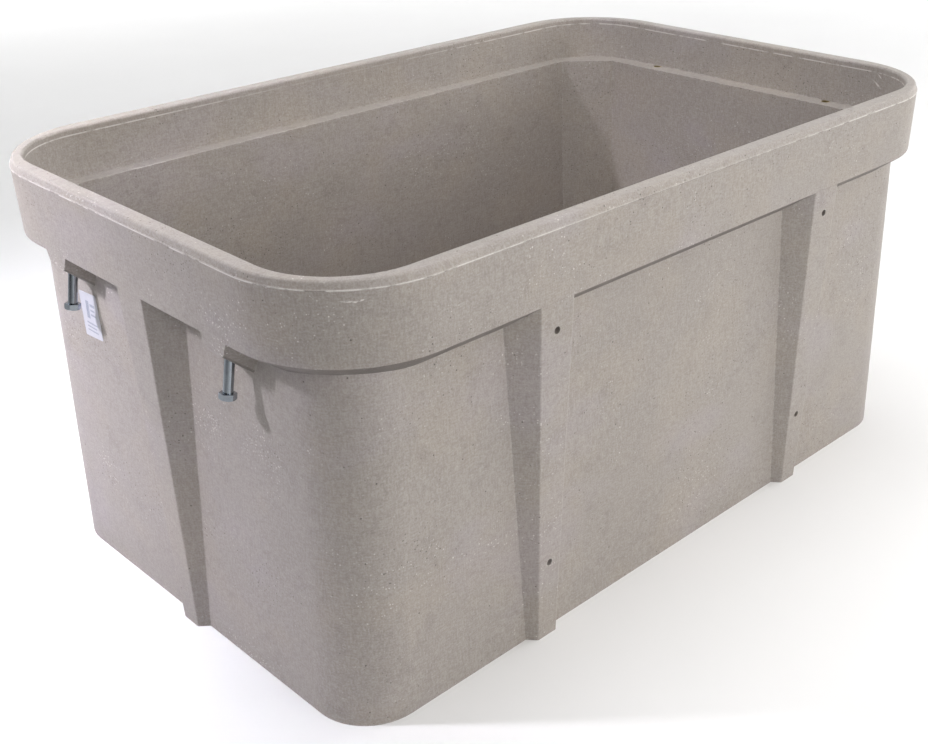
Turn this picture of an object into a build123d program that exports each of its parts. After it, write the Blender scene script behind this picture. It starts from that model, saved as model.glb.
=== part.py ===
from build123d import *
import os
from math import atan2, cos, degrees, radians, sin, sqrt

# Moulded tub with a wide collar, stiffening ribs and loose hex bolts.
# Millimetres. +Z is up, +X runs along the long side.
# The origin is the centre of the underside, on the ground.

# ---- driving dimensions -------------------------------------------------

collar_length = 1270.0
collar_width = 804.0
total_height = 612.0
collar_radius = 161.0
collar_bottom_z = 508.5
collar_taper = 2.5
flash_z = 602.0
flash_bead = 0.8
bead_height = 1.4
rim_lean = 3.5
rim_round = 4.0

opening_length = 1220.0
opening_width = 753.5
opening_radius = 118.0
opening_draft = 1.5
ledge_z = 538.5

base_length = 1206.0
base_width = 732.5
neck_length = 1184.5
neck_width = 725.0
body_radius = 82.5
wall = 13.3
inner_corner = 70.0
underside_drop = 30.0
underside_reach = 40.0
collar_edge_round = 3.0

rib_x = 287.0
rib_flare = 0.85
rib_face_top = 28.5
rib_face_bottom = 17.0
rib_stand_bottom = 13.5
long_rib_root_round = 12.0
short_rib_root_round = 3.0
rib_sink = 6.0
rib_top_z = collar_bottom_z + 4.0
rib_face_round = 4.0
rib_hole_radius = 5.0
rib_hole_depth = 14.0
rib_hole_heights = (124.0, 470.0)

bolt_x = 610.5
bolt_y = 187.0
bolt_anchor_z = 493.0
bolt_lean = 10.5
bolt_diameter = 12.7
bolt_length = 100.0
bolt_hang = 59.5
head_across_flats = 19.05
head_height = 8.2
head_chamfer = 1.6
washer_face = 0.8
head_turns = (41.0, 30.0, 12.0, 50.0)
tip_chamfer = 1.2

insert_radius = 8.0
insert_length = 30.0
running_clearance = 0.07
bolt_hole_radius = 7.2

boss_top_z = 525.0
boss_bottom_z = 489.0
boss_half_top = 26.0
boss_half_bottom = 17.0
boss_round = 8.0
boss_slope = 41.0
boss_sink = 4.0

label_width = 47.0
label_height = 66.0
label_thickness = 0.4
label_y = 196.5
label_z = 404.5
label_turn = -4.0
label_corner = 2.0
label_gap = 0.05

overrun = 20.0
flush_gap = 0.1


# ---- derived sizes ------------------------------------------------------

def body_size(z):
    """Length and width of the outer body at height z."""
    part = z / rib_top_z
    length = base_length + (neck_length - base_length) * part
    width = base_width + (neck_width - base_width) * part
    return length, width


def outline(length, width, radius, z):
    return Plane.XY.offset(z) * RectangleRounded(length, width, radius)


def tapered_box(low_size, high_size, low_z, high_z):
    """Box with flat, slightly leaning sides between two rectangles."""
    points = []
    for (length, width), z in ((low_size, low_z), (high_size, high_z)):
        for x in (-length / 2, length / 2):
            for y in (-width / 2, width / 2):
                points.append((x, y, z))
    return ConvexPolyhedron(points)


def ring_block(length, width, radius, z, height, spread):
    """Rounded block from height z that spreads sideways as it rises or falls."""
    lean = -degrees(atan2(spread, abs(height)))
    return extrude(outline(length, width, radius, z), height, taper=lean)


def upright_edges(edges):
    return edges.filter_by(lambda edge: abs((edge @ 1 - edge @ 0).Z) > 0.9 * edge.length)


def edges_at(shape, z):
    return shape.edges().filter_by_position(Axis.Z, z - flush_gap, z + flush_gap)


def cut_each(block, tools):
    for tool in tools:
        block = block - tool
    return block


# ---- tub body -----------------------------------------------------------

def make_wall_block():
    neck = (neck_length, neck_width)
    block = tapered_box((base_length, base_width), neck, 0, rib_top_z)
    return fillet(upright_edges(block.edges()), body_radius)


def make_collar_block():
    """Flared collar: sloping underside, tall face, and a rim that leans in."""
    foot_length = collar_length - 2 * collar_taper
    foot_width = collar_width - 2 * collar_taper
    foot = (foot_length, foot_width, collar_radius - collar_taper, collar_bottom_z)
    face_height = flash_z - collar_bottom_z
    face = ring_block(*foot, face_height, collar_taper)
    under = ring_block(*foot, -underside_drop, -underside_reach)
    widest = (collar_length, collar_width, collar_radius, flash_z)
    rim = ring_block(*widest, total_height - flash_z, -rim_lean)
    block = under + face + rim
    return fillet(edges_at(block, collar_bottom_z), collar_edge_round)


def make_flash_bead():
    """Thin parting line that stands proud just below the rim."""
    length = collar_length - 4 * flush_gap
    width = collar_width - 4 * flush_gap
    below = ring_block(length, width, collar_radius, flash_z - bead_height, bead_height, flash_bead)
    crest_length = length + 2 * flash_bead
    crest_width = width + 2 * flash_bead
    crest_radius = collar_radius + flash_bead
    return below + ring_block(crest_length, crest_width, crest_radius, flash_z, bead_height, -flash_bead)


def make_rib(half_base, half_neck, half_collar):
    """Rib on the +Y face of a wall; it widens upwards and ends in the collar."""
    top_stand = half_collar - half_neck - 2 * flush_gap
    levels = (
        (0, half_base, rib_face_bottom, rib_stand_bottom),
        (rib_top_z, half_neck, rib_face_top, top_stand),
    )
    points = []
    for z, half, face, stand in levels:
        root = face + rib_flare * (stand + rib_sink)
        for side in (-1, 1):
            points.append((side * root, half - rib_sink, z))
            points.append((side * face, half + stand, z))
    rib = ConvexPolyhedron(points)
    outer = upright_edges(rib.edges()).sort_by(Axis.Y)[-2:]
    return fillet(outer, rib_face_round)


def make_ribbed_wall():
    wall_block = make_wall_block()
    ribs = make_ribs()
    block = wall_block + ribs
    roots = upright_edges(new_edges(wall_block, *ribs, combined=block))
    long_roots = roots.filter_by(lambda edge: abs(edge.center().X) < neck_width / 2)
    block = fillet(long_roots, long_rib_root_round)
    short_roots = roots.filter_by(lambda edge: abs(edge.center().X) > neck_width / 2)
    return fillet(short_roots, short_rib_root_round)


def make_ribs():
    foot_half_length = collar_length / 2 - collar_taper
    foot_half_width = collar_width / 2 - collar_taper
    long_rib = make_rib(base_width / 2, neck_width / 2, foot_half_width)
    short_rib = make_rib(base_length / 2, neck_length / 2, foot_half_length)
    ribs = []
    for turn in (0, 180):
        for side in (-1, 1):
            ribs.append(Rot(0, 0, turn) * Pos(side * rib_x, 0, 0) * long_rib)
        ribs.append(Rot(0, 0, turn + 90) * short_rib)
    return ribs


def make_rib_holes():
    """Blind round holes in the outer faces of the long-side ribs."""
    holes = []
    for z in rib_hole_heights:
        part = z / rib_top_z
        base_face = base_width / 2 + rib_stand_bottom
        top_face = collar_width / 2 - collar_taper
        face_y = base_face + (top_face - base_face) * part
        for turn in (0, 180):
            for side in (-1, 1):
                tool = Cylinder(rib_hole_radius, 2 * rib_hole_depth, rotation=(90, 0, 0))
                holes.append(Rot(0, 0, turn) * Pos(side * rib_x, face_y, z) * tool)
    return holes


def make_cavity():
    """Space inside: flat-cornered body below the ledge, rounded pocket above."""
    floor_length, floor_width = body_size(wall)
    floor = (floor_length - 2 * wall, floor_width - 2 * wall)
    neck = (neck_length - 2 * wall, neck_width - 2 * wall)
    lower = tapered_box(floor, neck, wall, ledge_z + 1)
    lower = chamfer(upright_edges(lower.edges()), inner_corner)
    foot_length = opening_length - 2 * opening_draft
    foot_width = opening_width - 2 * opening_draft
    foot = (foot_length, foot_width, opening_radius - opening_draft, ledge_z)
    return lower, ring_block(*foot, total_height - ledge_z + 1, opening_draft)


# ---- bolt stations ------------------------------------------------------

def stations():
    """One frame per bolt: origin where the bolt leaves the collar, Z up its axis."""
    frames = []
    for side_x, side_y in ((-1, 1), (-1, -1), (1, -1), (1, 1)):
        place = Pos(side_x * bolt_x, side_y * bolt_y, bolt_anchor_z)
        frames.append(place * Rot(0, -side_x * bolt_lean, 0))
    return frames


def make_boss():
    """Block round a bolt at +X: flush with the collar, its underside runs down to the wall."""
    outer_x = collar_length / 2 - collar_taper - flush_gap
    points = [
        (-boss_half_top, boss_top_z),
        (-boss_half_top, collar_bottom_z),
        (-boss_half_bottom, boss_bottom_z),
        (boss_half_bottom, boss_bottom_z),
        (boss_half_top, collar_bottom_z),
        (boss_half_top, boss_top_z),
    ]
    sketch = make_face(Polyline(*points, close=True))
    low = sketch.vertices().group_by(Axis.Y)[0]
    sketch = fillet(low, boss_round)
    reach = (outer_x - neck_length / 2 + boss_sink) / cos(radians(boss_slope))
    inward = (-cos(radians(boss_slope)), 0, -sin(radians(boss_slope)))
    return extrude(Plane.YZ.offset(outer_x) * sketch, reach, dir=inward)


def at_corners(tool):
    """Copies of a +X tool at the four bolt positions."""
    copies = []
    for turn in (0, 180):
        for side in (-1, 1):
            copies.append(Rot(0, 0, turn) * Pos(0, side * bolt_y, 0) * tool)
    return copies


def trim_above_ledge(shape):
    size = 2 * collar_length
    keep = Box(size, size, size, align=(Align.CENTER, Align.CENTER, Align.MAX))
    return shape & (Pos(0, 0, ledge_z) * keep)


def ledge_distance():
    """Length of the bolt axis from its anchor up to the ledge."""
    return (ledge_z - bolt_anchor_z) / cos(radians(bolt_lean))


def make_bolt_holes():
    """Clearance hole with a wider seat for the insert at its upper end."""
    top = ledge_distance() + overrun
    plain_length = top + 2 * overrun
    plain = Pos(0, 0, top - plain_length / 2) * Cylinder(bolt_hole_radius, plain_length)
    seat_length = insert_length + overrun
    seat = Pos(0, 0, top - seat_length / 2) * Cylinder(insert_radius, seat_length)
    return [trim_above_ledge(frame * (plain + seat)) for frame in stations()]


def make_tub():
    block = make_ribbed_wall() + make_collar_block() + make_flash_bead()
    block = block + at_corners(make_boss())
    block = cut_each(block, make_cavity())
    block = fillet(edges_at(block, total_height), rim_round)
    block = cut_each(block, make_rib_holes())
    return cut_each(block, make_bolt_holes())


# ---- hardware -----------------------------------------------------------

def make_bolt(head_turn):
    """Hex bolt, head down; its origin is the anchor of the station."""
    radius = bolt_diameter / 2
    shank = Pos(0, 0, bolt_length / 2 - bolt_hang) * Cylinder(radius, bolt_length)
    tip = edges_at(shank, bolt_length - bolt_hang)
    shank = chamfer(tip, tip_chamfer)
    corner = head_across_flats / sqrt(3)
    head = extrude(Rot(0, 0, head_turn) * RegularPolygon(corner, 6), head_height)
    trim = Cylinder(corner - flush_gap, head_height)
    trim = chamfer(edges_at(trim, -head_height / 2), head_chamfer)
    head = head & (Pos(0, 0, head_height / 2) * trim)
    face_radius = head_across_flats / 2 - washer_face / 2
    head = head + Pos(0, 0, head_height) * Cylinder(face_radius, washer_face)
    return shank + Pos(0, 0, -bolt_hang - head_height) * head


def make_insert():
    """Threaded sleeve whose top is flush with the ledge."""
    length = insert_length + overrun
    middle = ledge_distance() + overrun - length / 2
    sleeve = Cylinder(insert_radius, length)
    bore = Cylinder(bolt_diameter / 2 + running_clearance, 2 * length)
    return Pos(0, 0, middle) * (sleeve - bore)


def make_label():
    """Thin rectangular sticker on the short wall below a bolt."""
    lean = atan2((base_length - neck_length) / 2, rib_top_z)
    wall_x = body_size(label_z)[0] / 2
    plate = Box(label_thickness, label_width, label_height)
    plate = fillet(plate.edges().filter_by(Axis.X), label_corner)
    tilt = Rot(0, degrees(lean), 0)
    centre = Pos(-wall_x - label_thickness / 2 - label_gap, label_y, label_z)
    return centre * tilt * Rot(label_turn, 0, 0) * plate


# ---- write --------------------------------------------------------------

os.makedirs("parts", exist_ok=True)
export_step(make_tub(), "parts/tub_body.step")
for number, frame in enumerate(stations(), start=1):
    bolt = make_bolt(head_turns[number - 1])
    export_step(frame * bolt, f"parts/hex_bolt_{number}.step")
    export_step(trim_above_ledge(frame * make_insert()), f"parts/threaded_insert_{number}.step")
export_step(make_label(), "parts/label.step")
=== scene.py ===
import math

import bpy
from mathutils import Matrix, Vector


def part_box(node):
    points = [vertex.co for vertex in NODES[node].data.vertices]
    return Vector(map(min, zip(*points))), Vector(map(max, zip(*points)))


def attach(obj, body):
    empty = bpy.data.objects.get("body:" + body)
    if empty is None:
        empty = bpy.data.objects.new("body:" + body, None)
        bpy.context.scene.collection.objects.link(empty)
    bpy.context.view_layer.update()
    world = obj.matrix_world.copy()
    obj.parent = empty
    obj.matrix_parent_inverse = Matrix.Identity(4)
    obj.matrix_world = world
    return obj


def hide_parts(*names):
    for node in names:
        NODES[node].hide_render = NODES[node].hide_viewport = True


# ---- frame ----------------------------------------------------------------

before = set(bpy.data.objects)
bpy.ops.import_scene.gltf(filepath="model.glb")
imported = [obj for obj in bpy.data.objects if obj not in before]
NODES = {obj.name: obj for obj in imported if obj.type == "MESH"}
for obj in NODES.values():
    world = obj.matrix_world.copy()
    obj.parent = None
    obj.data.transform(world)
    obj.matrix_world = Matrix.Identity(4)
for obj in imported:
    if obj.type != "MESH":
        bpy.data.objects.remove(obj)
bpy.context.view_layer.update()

# Sizes of the moulding, in metres, in the frame of the CAD model.
FLASH_Z = 0.602
HALF_LENGTH = 0.635
BOLT_X = 0.6105
BOLT_Y = 0.187
ANCHOR_Z = 0.493
BOLT_LEAN = 10.5

# Colours, linear.
BODY_DARK = (0.305, 0.272, 0.246, 1)
BODY_LIGHT = (0.385, 0.350, 0.322, 1)
BODY_WARM = (0.40, 0.345, 0.285, 1)
BODY_COOL = (0.385, 0.345, 0.365, 1)
BODY_PALE = (0.52, 0.49, 0.46, 1)
BODY_DEEP = (0.20, 0.175, 0.155, 1)
CHALK = (0.76, 0.73, 0.70, 1)
# Dark of the pits, also the colour of the painted shade on faces that look down.
PIT_AND_SHADE_DARK = (0.075, 0.062, 0.055, 1)


# ---- node helpers ---------------------------------------------------------

class Nodes:
    """Short names for the few node types that the materials use."""

    def __init__(self, material):
        material.use_nodes = True
        self.tree = material.node_tree
        self.tree.nodes.clear()
        self.out = self.add("ShaderNodeOutputMaterial")
        self.shader = self.add("ShaderNodeBsdfPrincipled")
        self.link(self.shader.outputs[0], self.out.inputs["Surface"])
        self.coord = self.add("ShaderNodeTexCoord").outputs["Object"]

    def add(self, kind, **settings):
        node = self.tree.nodes.new(kind)
        for name, value in settings.items():
            setattr(node, name, value)
        return node

    def link(self, source, target):
        self.tree.links.new(source, target)

    def put(self, target, value):
        """Sets a socket to a number, or links it to another socket."""
        if isinstance(value, bpy.types.NodeSocket):
            self.link(value, target)
        else:
            target.default_value = value

    def math(self, operation, a, b=0.0, clamp=False):
        node = self.add("ShaderNodeMath", operation=operation, use_clamp=clamp)
        for socket, value in zip(node.inputs, (a, b)):
            self.put(socket, value)
        return node.outputs[0]

    def vector(self, operation, a, b=(0, 0, 0), scale=1.0):
        node = self.add("ShaderNodeVectorMath", operation=operation)
        self.put(node.inputs[0], a)
        if operation == "SCALE":
            self.put(node.inputs["Scale"], scale)
        else:
            self.put(node.inputs[1], b)
        return node.outputs["Value" if operation in ("DOT_PRODUCT", "LENGTH") else "Vector"]

    def ramp(self, value, low, high, out_low=0.0, out_high=1.0):
        """Smooth step from low to high."""
        node = self.add("ShaderNodeMapRange", interpolation_type="SMOOTHSTEP", clamp=True)
        for socket, number in zip(node.inputs, (value, low, high, out_low, out_high)):
            self.put(socket, number)
        return node.outputs[0]

    def noise(self, scale, detail=3.0, rough=0.5, coord=None):
        node = self.add("ShaderNodeTexNoise")
        self.link(coord or self.coord, node.inputs["Vector"])
        node.inputs["Scale"].default_value = scale
        node.inputs["Detail"].default_value = detail
        node.inputs["Roughness"].default_value = rough
        return node.outputs["Fac"]

    def cells(self, scale):
        """Distance to the nearest cell centre, and a random value for each cell."""
        node = self.add("ShaderNodeTexVoronoi", feature="F1")
        self.link(self.coord, node.inputs["Vector"])
        node.inputs["Scale"].default_value = scale
        split = self.add("ShaderNodeSeparateColor")
        self.link(node.outputs["Color"], split.inputs[0])
        return node.outputs["Distance"], split.outputs[0]

    def stretched(self, x, y, z):
        node = self.add("ShaderNodeMapping")
        self.link(self.coord, node.inputs["Vector"])
        node.inputs["Scale"].default_value = (x, y, z)
        return node.outputs[0]

    def mix(self, factor, first, second):
        node = self.add("ShaderNodeMix", data_type="RGBA")
        self.put(node.inputs["Factor"], factor)
        self.put(node.inputs[6], first)
        self.put(node.inputs[7], second)
        return node.outputs[2]

    def dots(self, scale, keep, size):
        """Small round spots in the share of cells that keep leaves."""
        distance, pick = self.cells(scale)
        spot = self.ramp(distance, size, size * 0.45)
        return self.math("MULTIPLY", spot, self.math("LESS_THAN", pick, keep))

    def line(self, start, end, width):
        """A thin straight mark between two points of the surface."""
        a = Vector(start)
        along = Vector(end) - a
        offset = self.vector("SUBTRACT", self.coord, tuple(a))
        share = self.vector("DOT_PRODUCT", offset, tuple(along / along.length_squared))
        share = self.math("MINIMUM", self.math("MAXIMUM", share, 0.0), 1.0)
        nearest = self.vector("SCALE", tuple(along), scale=share)
        gap = self.vector("LENGTH", self.vector("SUBTRACT", offset, nearest))
        return self.ramp(gap, width, width * 0.3)

    def bump(self, height, distance, strength=1.0, normal=None):
        node = self.add("ShaderNodeBump")
        node.inputs["Distance"].default_value = distance
        node.inputs["Strength"].default_value = strength
        self.link(height, node.inputs["Height"])
        if normal is not None:
            self.link(normal, node.inputs["Normal"])
        return node.outputs[0]


def new_material(name):
    """A material and the helper that fills its node tree."""
    material = bpy.data.materials.new(name)
    return material, Nodes(material)


def dress(piece, material):
    piece.data.materials.clear()
    piece.data.materials.append(material)


# ---- materials ------------------------------------------------------------

def composite_material():
    """Glass-fibre filled composite: warm grey, mottled, specked, a little worn."""
    material, n = new_material("composite")
    shader = n.shader
    base = n.mix(n.noise(2.6, 4.0, 0.6), BODY_DARK, BODY_LIGHT)
    patch = n.ramp(n.noise(9.0, 3.0, 0.55), 0.44, 0.66)
    base = n.mix(n.math("MULTIPLY", patch, 0.30), base, BODY_WARM)
    cool = n.ramp(n.noise(5.0, 3.0, 0.55, n.stretched(1.0, 1.0, 1.7)), 0.50, 0.70)
    base = n.mix(n.math("MULTIPLY", cool, 0.40), base, BODY_COOL)
    stain = n.ramp(n.noise(24.0, 4.0, 0.65), 0.54, 0.70)
    base = n.mix(n.math("MULTIPLY", stain, 0.22), base, BODY_DEEP)

    texture = cloth_texture(n)
    base = n.mix(n.ramp(texture, 0.44, 0.66, 0.0, 0.40), base, BODY_PALE)
    base = n.mix(n.ramp(texture, 0.52, 0.34, 0.0, 0.34), base, BODY_DEEP)

    # Painted shade: faces that look down are darkened toward the pit colour.
    base = n.mix(n.math("MULTIPLY", downward_shade_mask(n), 0.72), base, PIT_AND_SHADE_DARK)
    specks = speck_mask(n)
    base = n.mix(n.math("MULTIPLY", specks, 0.74), base, CHALK)
    pits = pit_mask(n)
    base = n.mix(n.math("MULTIPLY", pits, 0.78), base, PIT_AND_SHADE_DARK)

    wear = n.math("MULTIPLY", worn_edges(n), n.ramp(n.noise(85.0, 4.0, 0.65), 0.44, 0.64))
    base = n.mix(n.math("MULTIPLY", wear, 0.38), base, CHALK)
    marks = n.math("MAXIMUM", scratches(n), parting_line(n))
    base = n.mix(n.math("MULTIPLY", marks, 0.78), base, CHALK)
    n.link(base, shader.inputs["Base Color"])

    rough = n.ramp(texture, 0.3, 0.7, 0.46, 0.64)
    n.link(n.math("ADD", rough, n.math("MULTIPLY", wear, 0.12)), shader.inputs["Roughness"])
    shader.inputs["Specular IOR Level"].default_value = 0.42

    waves = n.bump(n.noise(7.0, 2.0, 0.5), 0.004, 0.30)
    cloth = n.bump(texture, 0.0006, 0.75, waves)
    holes = n.bump(n.math("SUBTRACT", 1.0, pits), 0.0007, 0.8, cloth)
    n.link(holes, shader.inputs["Normal"])
    return material


def cloth_texture(n):
    """Woven print of the moulding cloth: level and upright streaks over fine grain."""
    across = n.noise(1.0, 2.0, 0.5, n.stretched(110, 110, 420))
    upward = n.noise(1.0, 2.0, 0.5, n.stretched(400, 400, 90))
    weave = n.math("MULTIPLY", n.math("ADD", across, upward), 0.5)
    grain = n.noise(430.0, 3.0, 0.65)
    return n.math("ADD", n.math("MULTIPLY", weave, 0.5), n.math("MULTIPLY", grain, 0.5))


def speck_mask(n):
    """Pale specks, mostly in clusters that run in level rows."""
    cluster = n.ramp(n.noise(8.0, 3.0, 0.6), 0.50, 0.64)
    rows = n.ramp(n.noise(1.0, 1.0, 0.5, n.stretched(14, 14, 150)), 0.46, 0.56)
    share = n.math("ADD", n.math("MULTIPLY", n.math("MULTIPLY", cluster, rows), 0.9), 0.10)
    small = n.math("MULTIPLY", n.dots(270.0, 0.30, 0.34), share)
    large = n.math("MULTIPLY", n.dots(150.0, 0.06, 0.22), n.math("ADD", cluster, 0.25, clamp=True))
    return n.math("MAXIMUM", small, large)


def pit_mask(n):
    """Small dark pits, thick in a few places and rare elsewhere."""
    crowd = n.ramp(n.noise(6.5, 3.0, 0.6), 0.47, 0.62)
    fine = n.math("MULTIPLY", n.dots(230.0, 0.14, 0.32), crowd)
    lone = n.math("MULTIPLY", n.dots(110.0, 0.07, 0.17), 0.9)
    return n.math("MAXIMUM", n.math("MULTIPLY", fine, 0.85), lone)


def downward_shade_mask(n):
    """Painted shade on surfaces that look down, broken up by noise."""
    normal = n.add("ShaderNodeNewGeometry").outputs["Normal"]
    downward = n.vector("DOT_PRODUCT", normal, (0, 0, -1))
    cover = n.ramp(n.noise(30.0), 0.2, 0.6, 0.75, 1.0)
    return n.math("MULTIPLY", n.ramp(downward, 0.25, 0.62), cover)


def parting_line(n):
    """Pale flash left along the parting line under the rim, strongest near the ends."""
    split = n.add("ShaderNodeSeparateXYZ")
    n.link(n.coord, split.inputs[0])
    gap = n.math("ABSOLUTE", n.math("SUBTRACT", split.outputs["Z"], FLASH_Z - 0.0002))
    band = n.ramp(gap, 0.0013, 0.0005)
    broken = n.ramp(n.noise(42.0, 3.0, 0.6), 0.36, 0.52)
    side = n.ramp(n.math("ABSOLUTE", split.outputs["X"]), 0.05, 0.45, 0.15, 0.9)
    return n.math("MULTIPLY", n.math("MULTIPLY", band, broken), side)


def worn_edges(n):
    """Where a rounded normal leaves the flat one, the surface is an edge."""
    bevel = n.add("ShaderNodeBevel", samples=4)
    bevel.inputs["Radius"].default_value = 0.0035
    geometry = n.add("ShaderNodeNewGeometry")
    same = n.vector("DOT_PRODUCT", bevel.outputs[0], geometry.outputs["Normal"])
    return n.ramp(same, 0.995, 0.90)


def scratches(n):
    """A few long handling scratches on the collar, broken up by the surface."""
    left = -HALF_LENGTH
    inner = HALF_LENGTH - 0.028
    lines = (
        ((left + 0.036, -0.350, 0.592), (left + 0.069, -0.373, 0.588), 0.0016),
        ((left + 0.067, -0.373, 0.588), (left + 0.095, -0.384, 0.594), 0.0014),
        ((inner, -0.250, 0.601), (inner, -0.305, 0.566), 0.0022),
        ((inner, -0.272, 0.604), (inner, -0.318, 0.571), 0.0014),
    )
    total = None
    for start, end, width in lines:
        mark = n.line(start, end, width)
        total = mark if total is None else n.math("MAXIMUM", total, mark)
    return n.math("MULTIPLY", total, n.ramp(n.noise(240.0, 2.0, 0.6), 0.36, 0.54))


def steel_material():
    """Zinc plate: bluish metal, fine turning lines and dull patches."""
    material, n = new_material("zinc_steel")
    shader = n.shader
    shader.inputs["Metallic"].default_value = 1.0
    tone = n.mix(n.noise(60.0, 3.0, 0.6), (0.26, 0.29, 0.33, 1), (0.44, 0.48, 0.52, 1))
    dull = n.ramp(n.noise(150.0, 4.0, 0.7), 0.52, 0.72)
    tone = n.mix(n.math("MULTIPLY", dull, 0.35), tone, (0.18, 0.195, 0.215, 1))
    n.link(tone, shader.inputs["Base Color"])
    rings = n.noise(1.0, 2.0, 0.5, n.stretched(60, 60, 3200))
    n.link(n.ramp(rings, 0.2, 0.8, 0.08, 0.17), shader.inputs["Roughness"])
    n.link(n.bump(rings, 0.00003, 0.20), shader.inputs["Normal"])
    return material


def insert_material():
    """Machined brass with a dull, slightly scaled face."""
    material, n = new_material("insert_brass")
    shader = n.shader
    shader.inputs["Metallic"].default_value = 1.0
    tone = n.mix(n.noise(240.0, 3.0, 0.6), (0.52, 0.42, 0.24, 1), (0.68, 0.58, 0.36, 1))
    n.link(tone, shader.inputs["Base Color"])
    n.link(n.ramp(n.noise(500.0), 0.3, 0.7, 0.28, 0.5), shader.inputs["Roughness"])
    return material


def floor_material():
    """Plain pale floor with the faintest mottling."""
    material, n = new_material("studio_floor")
    tone = n.mix(n.noise(2.0), (0.92, 0.92, 0.92, 1), (0.96, 0.96, 0.96, 1))
    n.link(tone, n.shader.inputs["Base Color"])
    n.shader.inputs["Roughness"].default_value = 0.9
    n.shader.inputs["Specular IOR Level"].default_value = 0.1
    return material


def label_material():
    """White vinyl with grey-blue generic bars and blocks, no lettering."""
    material, n = new_material("sticker")
    shader = n.shader
    paper = n.mix(n.noise(140.0, 3.0, 0.6), (0.50, 0.50, 0.56, 1), (0.60, 0.60, 0.65, 1))
    split = n.add("ShaderNodeSeparateXYZ")
    n.link(n.coord, split.inputs[0])
    lowest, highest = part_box("label")
    width = highest[1] - lowest[1]
    height = highest[2] - lowest[2]
    u = n.math("DIVIDE", n.math("SUBTRACT", highest[1], split.outputs["Y"]), width)
    v = n.math("DIVIDE", n.math("SUBTRACT", split.outputs["Z"], lowest[2]), height)
    ink = None
    blocks = (
        (0.30, 0.46, 0.42, 0.80),
        (0.52, 0.78, 0.70, 0.76),
        (0.52, 0.74, 0.60, 0.64),
        (0.52, 0.80, 0.50, 0.54),
        (0.24, 0.82, 0.30, 0.335),
        (0.24, 0.74, 0.22, 0.25),
        (0.24, 0.80, 0.14, 0.17),
    )
    for left, right, low, high in blocks:
        in_u = n.math("MULTIPLY", n.math("GREATER_THAN", u, left), n.math("LESS_THAN", u, right))
        in_v = n.math("MULTIPLY", n.math("GREATER_THAN", v, low), n.math("LESS_THAN", v, high))
        block = n.math("MULTIPLY", in_u, in_v)
        ink = block if ink is None else n.math("MAXIMUM", ink, block)
    faded = n.math("MULTIPLY", ink, n.ramp(n.noise(900.0, 2.0), 0.3, 0.6, 0.55, 0.95))
    n.link(n.mix(faded, paper, (0.25, 0.28, 0.36, 1)), shader.inputs["Base Color"])
    n.link(n.ramp(n.noise(60.0), 0.3, 0.7, 0.3, 0.42), shader.inputs["Roughness"])
    return material


# ---- bolts ----------------------------------------------------------------

ROUND_STEPS = 96
SHANK_RADIUS = 0.00635
HEAD_FLATS = 0.01905
HEAD_HEIGHT = 0.0082
BOLT_HANG = 0.0595
BOLT_LENGTH = 0.100
THREAD_LENGTH = 0.038
THREAD_PITCH = 0.00195
THREAD_DEPTH = 0.0009
THREAD_RELIEF = 0.00003
SHANK_RELIEF = 0.00002
THREAD_ROWS = 8
THREAD_FADE = 0.003
THREAD_RUNOUT = 0.002
TIP_GAP = 0.0004
TIP_LENGTH = 0.0014
TIP_SLOPE = 0.8
CHAMFER_ANGLE = 30.0
CHAMFER_STEPS = 7
CHAMFER_START = 0.955
WASHER_FACE = 0.0004
TINY = 0.0001
SHARP_ANGLE = 24.0
TURNS = (41.0, 30.0, 12.0, 50.0)


def hex_radius(angle):
    """Distance from the axis to the side of the hexagon, with a corner at angle 0."""
    sixth = math.pi / 3
    return HEAD_FLATS / 2 / math.cos(angle % sixth - sixth / 2)


def head_rows():
    """Rows (height above the head's foot, largest radius, hexagonal or not)."""
    corner = HEAD_FLATS / math.sqrt(3) - TINY
    start = HEAD_FLATS / 2 * CHAMFER_START
    rows = [(0.0, start * 0.6, False), (0.0, start, False)]
    slope = math.tan(math.radians(CHAMFER_ANGLE))
    for step in range(1, CHAMFER_STEPS + 1):
        radius = start + (corner - start) * step / CHAMFER_STEPS
        rows.append(((radius - start) * slope, radius, True))
    face = HEAD_FLATS / 2 - WASHER_FACE
    top = HEAD_HEIGHT + WASHER_FACE
    rows += [(HEAD_HEIGHT, corner, True), (HEAD_HEIGHT, face, False)]
    rows += [(top, face - TINY, False), (top, SHANK_RADIUS, False)]
    return rows


def bolt_rows():
    """Radius functions up the bolt, from the middle of the head to the tip."""
    rows = []
    for height, radius, six_sided in head_rows():
        if six_sided:
            rows.append((height, lambda a, r=radius: min(r, hex_radius(a))))
        else:
            rows.append((height, lambda a, r=radius: r))
    top = HEAD_HEIGHT + BOLT_LENGTH
    thread_start = top - THREAD_LENGTH
    rows.append((thread_start - THREAD_RUNOUT, lambda a: SHANK_RADIUS - SHANK_RELIEF))
    count = int(THREAD_LENGTH / THREAD_PITCH * THREAD_ROWS)
    for step in range(count + 1):
        height = thread_start + (THREAD_LENGTH - TIP_GAP) * step / count
        fade = min(1.0, (height - thread_start) / THREAD_FADE)
        tip = max(0.0, height - (top - TIP_LENGTH)) * TIP_SLOPE
        rows.append((height, lambda a, h=height, f=fade, t=tip: thread_radius(a, h, f) - t))
    return rows


def thread_radius(angle, height, fade):
    """Radius of a right-hand thread whose depth grows with fade."""
    phase = (height / THREAD_PITCH - angle / (2 * math.pi)) % 1.0
    ridge = abs(2 * phase - 1)
    depth = THREAD_DEPTH * min(1.0, 1.25 * ridge) * fade
    return SHANK_RADIUS - THREAD_RELIEF - depth


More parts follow.
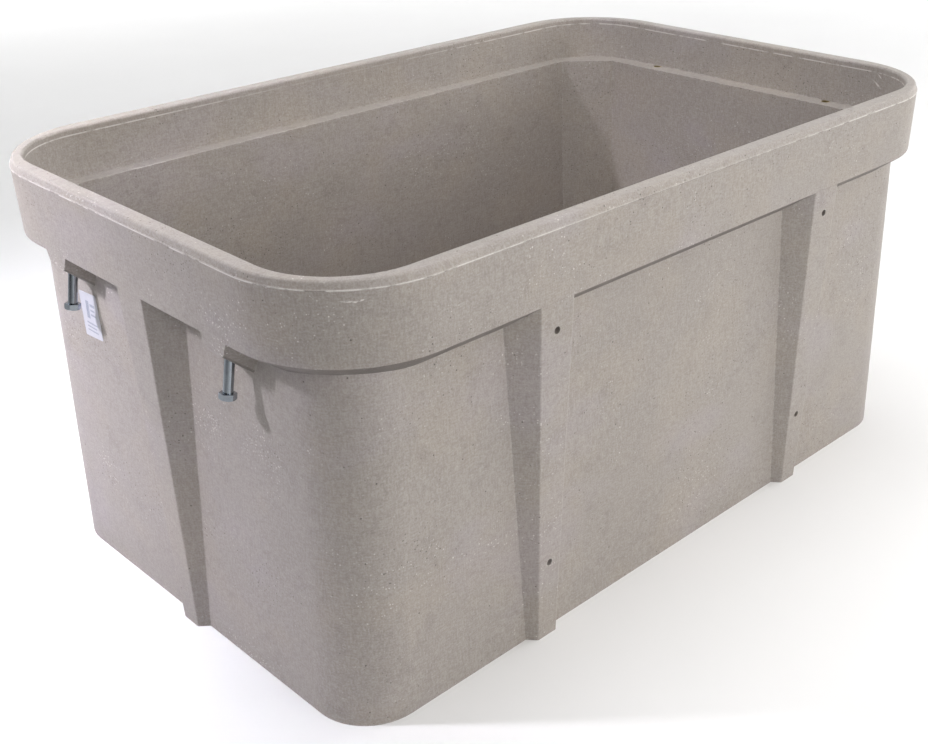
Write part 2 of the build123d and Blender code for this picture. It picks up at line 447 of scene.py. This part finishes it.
def make_bolt(number, material):
    """Threaded hex bolt, head down, in place of the plain one."""
    side_x = -1 if number in (1, 2) else 1
    side_y = 1 if number in (1, 4) else -1
    turn = math.radians(TURNS[number - 1])
    points = []
    rows = bolt_rows()
    for height, radius in rows:
        for step in range(ROUND_STEPS):
            angle = 2 * math.pi * step / ROUND_STEPS
            r = radius(angle)
            points.append((r * math.cos(angle + turn), r * math.sin(angle + turn), height))
    faces = []
    for row in range(len(rows) - 1):
        for step in range(ROUND_STEPS):
            a = row * ROUND_STEPS + step
            b = row * ROUND_STEPS + (step + 1) % ROUND_STEPS
            faces.append((a, b, b + ROUND_STEPS, a + ROUND_STEPS))
    last = (len(rows) - 1) * ROUND_STEPS
    faces.append(tuple(reversed(range(ROUND_STEPS))))
    faces.append(tuple(range(last, last + ROUND_STEPS)))
    mesh = bpy.data.meshes.new(f"bolt_{number}")
    mesh.from_pydata(points, [], faces)
    lean = Matrix.Rotation(-side_x * math.radians(BOLT_LEAN), 4, "Y")
    drop = Matrix.Translation((0, 0, -BOLT_HANG - HEAD_HEIGHT))
    place = Matrix.Translation((side_x * BOLT_X, side_y * BOLT_Y, ANCHOR_Z))
    mesh.transform(place @ lean @ drop)
    mesh.polygons.foreach_set("use_smooth", [True] * len(mesh.polygons))
    mesh.set_sharp_from_angle(angle=math.radians(SHARP_ANGLE))
    bolt = bpy.data.objects.new(f"bolt_{number}", mesh)
    bpy.context.collection.objects.link(bolt)
    dress(bolt, material)
    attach(bolt, f"bolt_{number}")
    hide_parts(f"hex_bolt_{number}")


# ---- studio ---------------------------------------------------------------

CAMERA_PLACE = (-1.3081, -1.3695, 1.1256)
CAMERA_YAW = 0.77495
CAMERA_PITCH = 0.46817
CAMERA_ROLL = 0.013167
CAMERA_LENS = 49.80
CAMERA_SHIFT = (-0.0571, 0.0008)
NEAR_EDGE = 5.0
BACK_EDGE = 4.2
BACKDROP_HEIGHT = 3.0
WORLD_FILL = 0.02


def make_camera():
    """Camera above the near corner: yaw from +Y to +X, pitch down, small roll."""
    yaw, pitch, roll = CAMERA_YAW, CAMERA_PITCH, CAMERA_ROLL
    level_part = math.cos(pitch)
    ahead = Vector((math.sin(yaw) * level_part, math.cos(yaw) * level_part, -math.sin(pitch)))
    level = Vector((math.cos(yaw), -math.sin(yaw), 0.0))
    down = ahead.cross(level)
    right = math.cos(roll) * level + math.sin(roll) * down
    below = math.cos(roll) * down - math.sin(roll) * level
    data = bpy.data.cameras.new("camera")
    data.sensor_fit = "HORIZONTAL"
    data.sensor_width = 36.0
    data.lens = CAMERA_LENS
    data.shift_x, data.shift_y = CAMERA_SHIFT
    data.clip_end = 60.0
    camera = bpy.data.objects.new("camera", data)
    bpy.context.collection.objects.link(camera)
    turn = Matrix((right, -below, -ahead)).transposed().to_4x4()
    camera.matrix_world = Matrix.Translation(CAMERA_PLACE) @ turn
    bpy.context.scene.camera = camera


def area_light(name, place, aim, size, power, tint, spread=180):
    """Square lamp at a place, turned to its aim; the spread is in degrees."""
    data = bpy.data.lights.new(name, "AREA")
    data.shape = "SQUARE"
    data.size = size
    data.energy = power
    data.spread = math.radians(spread)
    data.color = tint
    light = bpy.data.objects.new(name, data)
    bpy.context.collection.objects.link(light)
    light.location = place
    light.rotation_euler = (Vector(aim) - Vector(place)).to_track_quat("-Z", "Y").to_euler()


def make_lights():
    """A small hard key from the left, broad soft lamps in front and above."""
    middle = (0.0, 0.0, 0.35)
    to_left = (-0.63, 0.52, 0.27)
    to_inside = (0.62, -0.02, 0.44)
    to_corner = (-0.42, -0.4, 0.60)
    to_front = (0.2, -0.2, 0.35)
    to_right = (0.2, 0.0, 0.35)
    to_floor = (0.0, 0.0, 0.3)
    cool = (1.0, 0.98, 1.05)
    warm = (1.0, 0.985, 0.965)
    area_light("key_light", (-1.68, 0.78, 1.72), to_left, 0.14, 7.2, (1.0, 0.98, 1.10), spread=66)
    area_light("left_light", (-2.6, 0.9, 1.9), middle, 1.4, 3.5, cool)
    area_light("inner_light", (-1.9, 0.1, 2.0), to_inside, 0.5, 0.5, (1.0, 0.99, 0.98), spread=32)
    area_light("corner_light", (-1.9, -2.5, 2.5), to_corner, 1.0, 1.9, (1.0, 0.985, 0.975), spread=52)
    area_light("front_light", (0.2, -3.4, 1.8), middle, 1.6, 39, warm)
    area_light("front_right_light", (1.8, -3.0, 1.6), to_front, 1.6, 25, warm)
    area_light("right_light", (3.2, -1.2, 1.6), to_right, 1.6, 28, (1.0, 0.99, 0.97))
    area_light("top_light", (0.0, 0.0, 3.4), to_floor, 2.2, 64, (0.985, 0.99, 1.0))


def make_world():
    """Pale surroundings that give hardly any light of their own."""
    world = bpy.data.worlds.new("studio_world")
    world.use_nodes = True
    tree = world.node_tree
    background = tree.nodes["Background"]
    background.inputs["Color"].default_value = (1.0, 1.0, 1.0, 1)
    path = tree.nodes.new("ShaderNodeLightPath")
    strength = tree.nodes.new("ShaderNodeMapRange")
    strength.inputs["To Min"].default_value = WORLD_FILL
    tree.links.new(path.outputs["Is Camera Ray"], strength.inputs["Value"])
    tree.links.new(strength.outputs["Result"], background.inputs["Strength"])
    bpy.context.scene.world = world
    bpy.context.scene.view_settings.view_transform = "Standard"


def quad(name, corners, material):
    """One flat sheet of the studio."""
    mesh = bpy.data.meshes.new(name)
    mesh.from_pydata(corners, [], [(0, 1, 2, 3)])
    sheet = bpy.data.objects.new(name, mesh)
    bpy.context.collection.objects.link(sheet)
    dress(sheet, material)


def backdrop_material():
    """Softly glowing cloth behind the floor."""
    material, n = new_material("studio_backdrop")
    tone = n.mix(n.noise(1.5), (0.95, 0.95, 0.95, 1), (1.0, 1.0, 1.0, 1))
    n.link(tone, n.shader.inputs["Emission Color"])
    n.link(tone, n.shader.inputs["Base Color"])
    n.shader.inputs["Emission Strength"].default_value = 0.95
    return material


def make_surroundings():
    """Floor, and two upright sheets behind the tub."""
    low, far, top = -NEAR_EDGE, BACK_EDGE, BACKDROP_HEIGHT
    lift = 0.001
    ground = [(low, low, 0), (far, low, 0), (far, far, 0), (low, far, 0)]
    back = [(-far, far, lift), (far, far, lift), (far, far, top), (-far, far, top)]
    side = [(far, far, lift), (far, -far, lift), (far, -far, top), (far, far, top)]
    quad("studio_floor", ground, floor_material())
    backdrop = backdrop_material()
    quad("studio_back", back, backdrop)
    quad("studio_side", side, backdrop)


# ---- build ----------------------------------------------------------------

make_camera()
make_lights()
make_world()
make_surroundings()

composite = composite_material()
steel = steel_material()
brass = insert_material()
dress(NODES["tub_body"], composite)
dress(NODES["label"], label_material())
for number in range(1, 5):
    make_bolt(number, steel)
    dress(NODES[f"threaded_insert_{number}"], brass)
